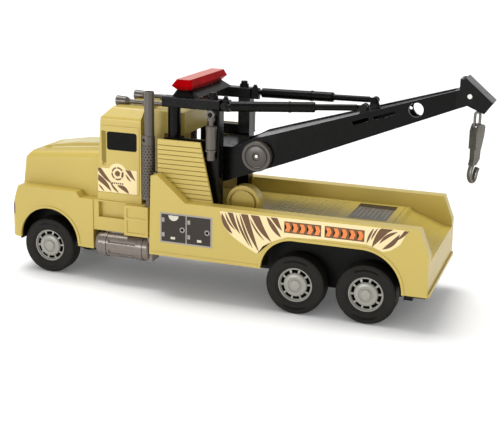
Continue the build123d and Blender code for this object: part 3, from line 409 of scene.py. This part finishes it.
def turned(name, profile, place, materials, body, segments=120, pits=None):
    """A turned piece from (radius, proud) points, closed at its back, with optional pits sunk in one band.

    pits is (band, count, share, depth): which run of the profile, how many, how much of the turn, how deep.
    """
    pit_band, pit_count, pit_share, pit_depth = pits or (None, 0, 0, 0)
    mesh = bmesh.new()
    turn = [2 * pi * index / segments for index in range(segments)]
    rows = [[mesh.verts.new(place(radius, angle, proud)) for angle in turn] for radius, proud in profile]
    centre = mesh.verts.new(place(0, 0, profile[-1][1]))
    back = mesh.verts.new(place(0, 0, profile[0][1]))
    band = []
    for row, (low, high) in enumerate(zip(rows, rows[1:])):
        for index in range(segments):
            after = (index + 1) % segments
            face = mesh.faces.new((low[index], low[after], high[after], high[index]))
            if row == pit_band and (index * pit_count / segments) % 1 < pit_share:
                band.append(face)
    for index in range(segments):
        after = (index + 1) % segments
        mesh.faces.new((rows[-1][index], rows[-1][after], centre))
        mesh.faces.new((rows[0][after], rows[0][index], back))
    if band:
        made = bmesh.ops.extrude_face_region(mesh, geom=band)["geom"]
        bmesh.ops.delete(mesh, geom=band, context="FACES_ONLY")
        sink = place(0, 0, -pit_depth) - place(0, 0, 0)
        sunk = [item for item in made if isinstance(item, bmesh.types.BMVert)]
        bmesh.ops.translate(mesh, verts=sunk, vec=sink)
        # The sunk faces take the second material; the rims paint them near-black as shade.
        for vert in sunk:
            for face in vert.link_faces:
                face.material_index = 1
    return finished(name, mesh, materials, body, smooth=True)


# ---------------------------------------------------------------- stickers
def stripes(name, place, rows, top, front):
    """Leaf-shaped printed stripes, cut off at the sheet's upper and front edges."""
    outlines = [[(min(ahead, front), min(up, top)) for ahead, up in leaf(*row)] for row in rows]
    plates(name, outlines, place, BROWN, PRINT, INK)


EMBLEM = (194.0, 114.3)
EMBLEM_BUMP = 10.4
# Each stripe is (start, end, width, bend, blunt).
DOOR_STRIPES = (
    ((216.0, 120.5), (199.0, 102.5), 4.8, 1.4, True), ((217.5, 109.5), (201.0, 94.9), 6.0, -1.6, True),
    ((215.4, 101.5), (209.0, 94.9), 1.8, 0.0, False), ((202.0, 104.0), (192.7, 94.8), 2.2, 0.6, False),
    ((194.5, 102.0), (181.6, 94.8), 4.4, -1.6, False), ((183.4, 121.5), (174.2, 108.6), 4.8, 0.9, True),
    ((185.0, 114.5), (179.2, 107.5), 1.8, 0.5, False))
ZEBRA_FRONT = (
    ((73.6, 92.6), (62.4, 73.2), 4.4, 1.8, False), ((70.0, 93.4), (59.6, 77.6), 2.0, 1.5, False),
    ((65.4, 97.5), (54.4, 74.0), 5.0, 1.6, True), ((59.5, 94.0), (44.6, 63.2), 2.2, 1.6, False),
    ((55.6, 94.0), (41.8, 61.6), 2.4, 1.2, False), ((51.4, 98.0), (35.4, 58.6), 6.2, 1.4, True),
    ((45.0, 90.0), (30.4, 70.6), 1.8, 1.2, False), ((41.4, 99.0), (23.0, 69.8), 7.6, 2.6, True),
    ((28.5, 94.4), (14.0, 75.4), 4.4, 0.8, False), ((22.4, 98.0), (13.0, 82.0), 5.6, 1.0, True))
ZEBRA_REAR = (
    ((-73.6, 94.6), (-67.6, 79.6), 2.2, 0.5, False), ((-77.6, 95.2), (-71.6, 83.4), 1.6, 0.6, False),
    ((-88.0, 99.5), (-72.6, 76.8), 8.0, 1.0, True), ((-95.4, 93.6), (-79.4, 81.0), 3.0, 1.6, False),
    ((-97.4, 91.6), (-82.4, 75.8), 4.2, -1.8, False), ((-104.4, 97.4), (-95.0, 85.8), 3.4, -0.8, True))
STRIPE_SHEET = [(75.6, 94.2), (12.0, 94.8), (-66.0, 95.8), (-104.8, 95.8), (-98.4, 82.0), (-90.0, 75.6),
                (-83.0, 73.4), (-72.8, 77.0), (-67.0, 78.6), (-28.0, 78.4), (8.0, 76.4), (24.0, 69.6),
                (32.0, 64.4), (37.3, 56.4), (45.0, 60.2), (53.6, 65.2), (62.8, 71.0), (70.0, 78.2)]
BLOCK_UP = 86.2
BLOCK_TALL = 4.2


def block_row(start, count, pitch):
    """A dark plate's outline and those of the bright chevrons on it."""
    end = start - pitch * (count - 1)
    plate = box_of(((start + end) / 2, BLOCK_UP), abs(start - end) + pitch, 11.0)
    chevron = ((2.9, 1), (-1.2, 1), (-2.9, 0), (-1.2, -1), (2.9, -1), (1.2, 0))
    blocks = [[(start - pitch * index + ahead, BLOCK_UP + BLOCK_TALL * up) for ahead, up in chevron]
              for index in range(count)]
    return plate, blocks


def side_stickers(side, sign):
    """The prints on one side: the door's, the stripes with two rows of chevrons, and the lockers."""
    door = flank(DOOR_Y, sign)
    wall = flank(BED_Y, sign)
    turns = [radians(angle) for angle in range(26, 155, 8)]
    bump = [(EMBLEM[0] + EMBLEM_BUMP * cos(turn), EMBLEM[1] + EMBLEM_BUMP * sin(turn)) for turn in turns]
    sheet = [(172.8, 94.4), (172.8, 118.9)] + bump + [(216.0, 118.9), (216.0, 94.4)]
    plates(f"door_sheet_{side}", [sheet], door, CREAM)
    stripes(f"door_stripes_{side}", door, DOOR_STRIPES, 118.7, 215.8)
    ring = [arc_band(EMBLEM, 5.2, 6.8, start, start + 60) for start in range(15, 375, 72)]
    dashes = [box_of((EMBLEM[0] - 5.5 + 2.2 * index, 104.2), 1.4, 1.7) for index in range(6)]
    plates(f"door_emblem_{side}", ring + [disc(EMBLEM, 2.9)] + dashes, door, BROWN, PRINT, INK)

    plates(f"stripe_sheet_{side}", [STRIPE_SHEET], wall, CREAM)
    stripes(f"stripes_front_{side}", wall, ZEBRA_FRONT, 93.9, STRIPE_SHEET[0][0])
    stripes(f"stripes_rear_{side}", wall, ZEBRA_REAR, 95.4, STRIPE_SHEET[0][0])
    first, first_blocks = block_row(7.6, 5, 7.15)
    second, second_blocks = block_row(-31.6, 5, 7.5)
    plates(f"block_plates_{side}", [first, second], wall, BROWN, PRINT, INK)
    plates(f"blocks_{side}", first_blocks + second_blocks, wall, ORANGE, INK, TOP_INK)

    plates(f"locker_frame_{side}", [box_of((110.3, 71.4), 54.6, 30.6)], wall, SILVER)
    plates(f"locker_doors_{side}", [box_of((123.4, 71.4), 25.4, 27.4), box_of((97.2, 71.4), 24.6, 27.4)],
           wall, PANEL, PRINT, INK)
    fittings = [box_of((ahead, up), 2.8, 4.2) for ahead in (134.3, 107.3) for up in (79.2, 64.4)]
    fittings += [arc_band(middle, 1.5, 2.7, 0, 350, 20) for middle in ((114.2, 70.8), (88.4, 70.8))]
    plates(f"locker_fittings_{side}", fittings, wall, SILVER, INK, 0.24)
    lamp = arc_band((123.4, 84.4), 0.6, 5.4, 182, 358, 14)
    tags = [box_of((ahead, 61.6), 4.6, 2.4) for ahead in (124.0, 96.4)]
    plates(f"locker_marks_{side}", [lamp] + tags, wall, PALE, INK, TOP_INK)


# ---------------------------------------------------------------- wheels and knob
# Radius and how far it stands proud of the rim's face, from the back of the rim to its hub.
RIM_PROFILE = [(17.0, -9.0), (17.0, -0.5), (16.6, 0.0), (15.7, 0.0), (15.3, -0.6), (15.0, -2.0),
               (14.6, -2.1), (11.6, -1.3), (11.2, -0.9), (11.0, -0.1), (10.4, 0.3), (7.4, 0.5),
               (7.0, 0.1), (6.4, -0.5), (5.4, -0.5), (5.0, 0.3), (4.4, 0.9), (2.4, 1.1)]
RIM_HUB_PROUD = 1.2
WINDOW_BAND = (6, 10, 0.7, 2.6)
TICK_BAND = (22.6, 24.4)
TICK_DEPTH = 0.9


def side_disc(node):
    """Where a wheel's or a knob's middle is (ahead, up), and how far out its outer face is."""
    low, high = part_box(node)
    middle = (low + high) / 2 / MM
    return (middle.x - AHEAD, middle.z), max(abs(low.y), abs(high.y)) / MM


def make_rims():
    """Each rim with its stepped face and ten sunk windows."""
    for axle in AXLES:
        for side, sign in SIDES.items():
            node = f"rim_{axle}_{side}"
            centre, face = side_disc(node)
            place = wheel_face(*centre, sign, face - RIM_HUB_PROUD)
            # The windows' sunk faces are painted near-black, as the shade inside them.
            rim = turned(f"rim_face_{axle}_{side}", RIM_PROFILE, place, [RIM, HOLE_SHADE], f"{axle}_wheels",
                         pits=WINDOW_BAND)
            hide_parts(node)


def make_tyre_marks():
    """Two runs of short moulded ticks on each tyre's outer wall."""
    for axle in AXLES:
        for side, sign in SIDES.items():
            centre, face = side_disc(f"tyre_{axle}_{side}")
            angles = [start + 6.4 * index for start in (62, 242) for index in range(9)]
            ticks = [arc_band(centre, *TICK_BAND, angle, angle + 3.6, 3) for angle in angles]
            wall = flank(face - TICK_DEPTH, sign)
            plates(f"tyre_ticks_{axle}_{side}", ticks, wall, RUBBER, 0.0, TICK_DEPTH, f"{axle}_wheels")


# ---------------------------------------------------------------- knob, stacks, floor and small fittings
KNOB_PROFILE = [(14.6, -0.6), (14.2, 0.0), (11.8, 0.0), (11.4, -0.4), (11.1, -1.3), (10.6, -1.4),
                (10.3, -0.7), (9.8, -0.5), (4.2, -0.5), (3.9, -0.8), (3.7, -2.2), (0.9, -2.2)]
SCREW_PROFILE = [(1.9, -1.0), (1.9, 0.0), (1.5, 0.4), (0.6, 0.5)]
SCREW_SUNK = 1.2


def make_knob():
    """The winch knob: a raised ring, a groove and a flat disc with a small screw in its well."""
    low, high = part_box("winch_knob")
    centre, face = side_disc("winch_knob")
    back = (KNOB_PROFILE[0][0], (low.y - high.y) / MM)
    knob = turned("knob_face", [back] + KNOB_PROFILE, wheel_face(*centre, 1, face), [KNOB], "winch")
    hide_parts("winch_knob")
    well = wheel_face(*centre, 1, face - SCREW_SUNK)
    turned("knob_screw", SCREW_PROFILE, well, [STEEL], "winch", 32)


HOLE_ROWS = [97.0 + 2.8 * row for row in range(19)]
HOLE_COLUMNS = 12
HOLE_R = 0.75
HOLE_CORNERS = 8
HOLE_BACK, HOLE_FRONT = -0.3, 0.12


def make_stack_holes(side):
    """Rows of small round holes in the guard round an exhaust stack, drawn as near-black discs on it:
    painted shade for the holes' dark insides.
    """
    low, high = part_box(f"exhaust_stack_{side}")
    radius = (high.y - low.y) / 2 / MM
    axis = Vector((high.x / MM - radius, (low.y + high.y) / 2 / MM, 0))
    corners = [2 * pi * corner / HOLE_CORNERS for corner in range(HOLE_CORNERS)]
    mesh = bmesh.new()
    for row, up in enumerate(HOLE_ROWS):
        for column in range(HOLE_COLUMNS):
            turn = 2 * pi * (column + 0.5 * (row % 2)) / HOLE_COLUMNS
            out = Vector((cos(turn), sin(turn), 0))
            across = Vector((-sin(turn), cos(turn), 0))
            rings = []
            for proud in (HOLE_BACK, HOLE_FRONT):
                middle = axis + out * (radius + proud) + Vector((0, 0, up))
                rings.append([mesh.verts.new((middle + across * HOLE_R * cos(corner)
                                              + Vector((0, 0, HOLE_R * sin(corner)))) * MM)
                              for corner in corners])
            mesh.faces.new(rings[0])
            mesh.faces.new(rings[1])
            for index in range(HOLE_CORNERS):
                after = (index + 1) % HOLE_CORNERS
                mesh.faces.new((rings[0][index], rings[0][after], rings[1][after], rings[1][index]))
    finished(f"stack_holes_{side}", mesh, [HOLE_SHADE], "truck")


PANEL_Z = 83.6
LOZENGE_ROWS, LOZENGE_COLUMNS = 21, 13
LOZENGE_START = (-20.0, -50.0)
LOZENGE_PITCH = (3.3, 8.0)
LOZENGE_PROUD = 0.35
PRINT_FRONT, PRINT_BACK = -32.5, -71.0
PRINT_RIGHT, PRINT_LEFT = -50.5, 6.0


def make_floor_prints():
    """Raised lozenges on the bed's panel, and the dark print behind them."""
    level = deck(PANEL_Z)
    lozenges = []
    for row in range(LOZENGE_ROWS):
        for column in range(LOZENGE_COLUMNS):
            ahead = LOZENGE_START[0] + LOZENGE_PITCH[0] * row
            left = LOZENGE_START[1] + LOZENGE_PITCH[1] * (column + 0.5 * (row % 2))
            if left < -LOZENGE_START[1]:
                lean = 1.6 if row % 2 else -1.6
                lozenges.append([(ahead - 1.1, left - lean), (ahead + 0.2, left - lean * 0.6 - 0.5),
                                 (ahead + 1.1, left + lean), (ahead - 0.2, left + lean * 0.6 + 0.5)])
    plates("tread_lozenges", lozenges, level, TREAD, 0.0, LOZENGE_PROUD)
    sheet = [(PRINT_FRONT, PRINT_RIGHT), (PRINT_BACK, PRINT_RIGHT), (PRINT_BACK, PRINT_LEFT),
             (PRINT_FRONT, PRINT_LEFT)]
    edge = sheet[:2] + [(PRINT_BACK, -36.0), (PRINT_FRONT, -38.0)]
    bars = [box_of((-36.5 - 4.4 * index, -22.0 + 5.0 * (index % 3)), 0.8, 30.0) for index in range(8)]
    plates("floor_print", [sheet], level, SLATE)
    plates("floor_print_bars", bars, level, SILVER, PRINT, 0.14)
    plates("floor_print_edge", [edge], level, PANEL, PRINT, INK)


def draped(name, node, rows, direction, material, proud=0.12):
    """A thin sheet over a grid of points, each moved along direction until it meets the node's surface."""
    data = NODES[node].data
    corners = [vert.co for vert in data.vertices]
    tree = BVHTree.FromPolygons(corners, [face.vertices for face in data.polygons])
    way = Vector(direction)
    mesh = bmesh.new()
    layers = []
    for lift in (-0.05, proud):
        layer = []
        for row in rows:
            line = []
            for ahead, left, up in row:
                start = Vector((ahead + AHEAD, left, up)) * MM
                hit = tree.ray_cast(start, way)[0]
                line.append(mesh.verts.new(hit - way * lift * MM))
            layer.append(line)
        layers.append(layer)
    tall, wide = len(rows), len(rows[0])
    for layer in layers:
        for row in range(tall - 1):
            for column in range(wide - 1):
                mesh.faces.new((layer[row][column], layer[row][column + 1],
                                layer[row + 1][column + 1], layer[row + 1][column]))
    rims = [layer[0] + [line[-1] for line in layer[1:-1]] + layer[-1][::-1]
            + [line[0] for line in layer[-2:0:-1]] for layer in layers]
    for index in range(len(rims[0])):
        after = (index + 1) % len(rims[0])
        mesh.faces.new((rims[0][index], rims[0][after], rims[1][after], rims[1][index]))
    return finished(name, mesh, [material], "truck")


LOUVRE_Y = 59.5
LOUVRE_COUNT = 12
LOUVRE_PITCH = 4.55
LOUVRE_TOP = 149.6
LOUVRE_FRONT = 145.0
# How tall each painted shadow line under a slat is.
LOUVRE_SHADE_WIDTH = 0.8
# The panel's rear edge leans: this far ahead at this height, and less by this share below it.
PANEL_CORNER = (101.9, 155.6)
PANEL_LEAN = 0.245
# Outline of the plate painted as the shade in the slot before the door window.
DOOR_SLOT_SHADE = [(206.4, 156.2), (211.2, 156.0), (211.2, 126.6), (209.6, 124.4), (206.4, 124.4)]
ABOVE_BONNET = 150.0


def make_body_details(side, sign):
    """Painted shadow lines under the louvre slats, and a painted shade plate in the slot before the door
    window.
    """
    shade_lines = []
    for step in range(LOUVRE_COUNT):
        up = LOUVRE_TOP - LOUVRE_PITCH * step
        rear = PANEL_CORNER[0] - (PANEL_CORNER[1] - up) * PANEL_LEAN
        top = up + LOUVRE_SHADE_WIDTH
        shade_lines.append([(rear, up), (LOUVRE_FRONT, up), (LOUVRE_FRONT, top), (rear, top)])
    # Thin darker plates, painted as the shadow under each slat.
    plates(f"louvre_shade_lines_{side}", shade_lines, flank(LOUVRE_Y, sign), SAND_PAINTED_SHADE, 0.0, 0.12)
    # A darker plate painted as the shade in the slot before the door window.
    plates(f"door_slot_shade_{side}", [DOOR_SLOT_SHADE], flank(DOOR_Y, sign), SAND_PAINTED_SHADE)


def make_bonnet_print():
    """The pale blank print on the bonnet's raised middle."""
    rows = [[(ahead, left, ABOVE_BONNET) for left in range(-20, 21, 10)] for ahead in range(226, 287, 6)]
    draped("bonnet_print", "cab_shell", rows, (0, 0, -1), BONNET_PRINT)


PLAIT_ROWS, PLAIT_CORNERS = 40, 24
PLAIT_STRANDS = 3
PLAIT_PITCH = 5
PLAIT_DEPTH = 0.07
PLAIT_SHARE = 0.93


def make_drop_cord():
    """The hanging cord from the roller to the hook, drawn as a fixed plaited rope in the drop_cord node's
    place.
    """
    low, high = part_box("drop_cord")
    centre = (low + high) / 2
    radius = min(high.x - low.x, high.y - low.y) / 2 * PLAIT_SHARE
    turns = [2 * pi * index / PLAIT_CORNERS for index in range(PLAIT_CORNERS)]
    mesh = bmesh.new()
    rings = []
    for row in range(PLAIT_ROWS + 1):
        up = high.z + (low.z - high.z) * row / PLAIT_ROWS
        ring = []
        for turn in turns:
            bulge = 1 + PLAIT_DEPTH * sin(PLAIT_STRANDS * turn + 2 * pi * row / PLAIT_PITCH)
            ring.append(mesh.verts.new((centre.x + radius * bulge * cos(turn),
                                        centre.y + radius * bulge * sin(turn), up)))
        rings.append(ring)
    for upper, lower in zip(rings, rings[1:]):
        for index in range(PLAIT_CORNERS):
            after = (index + 1) % PLAIT_CORNERS
            mesh.faces.new((upper[index], upper[after], lower[after], lower[index]))
    mesh.faces.new(rings[0])
    mesh.faces.new(rings[-1])
    bmesh.ops.recalc_face_normals(mesh, faces=mesh.faces)
    data = bpy.data.meshes.new("drop_cord_plait")
    mesh.to_mesh(data)
    mesh.free()
    data.materials.append(CORD)
    cord = bpy.data.objects.new("drop_cord_plait", data)
    bpy.context.scene.collection.objects.link(cord)
    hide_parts("drop_cord")
    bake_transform(cord)


make_camera()
make_stage()
paint_nodes()
for side_name, side_sign in SIDES.items():
    side_stickers(side_name, side_sign)
    make_stack_holes(side_name)
    make_body_details(side_name, side_sign)
make_bonnet_print()
make_tyre_marks()
make_rims()
make_knob()
make_floor_prints()
make_drop_cord()
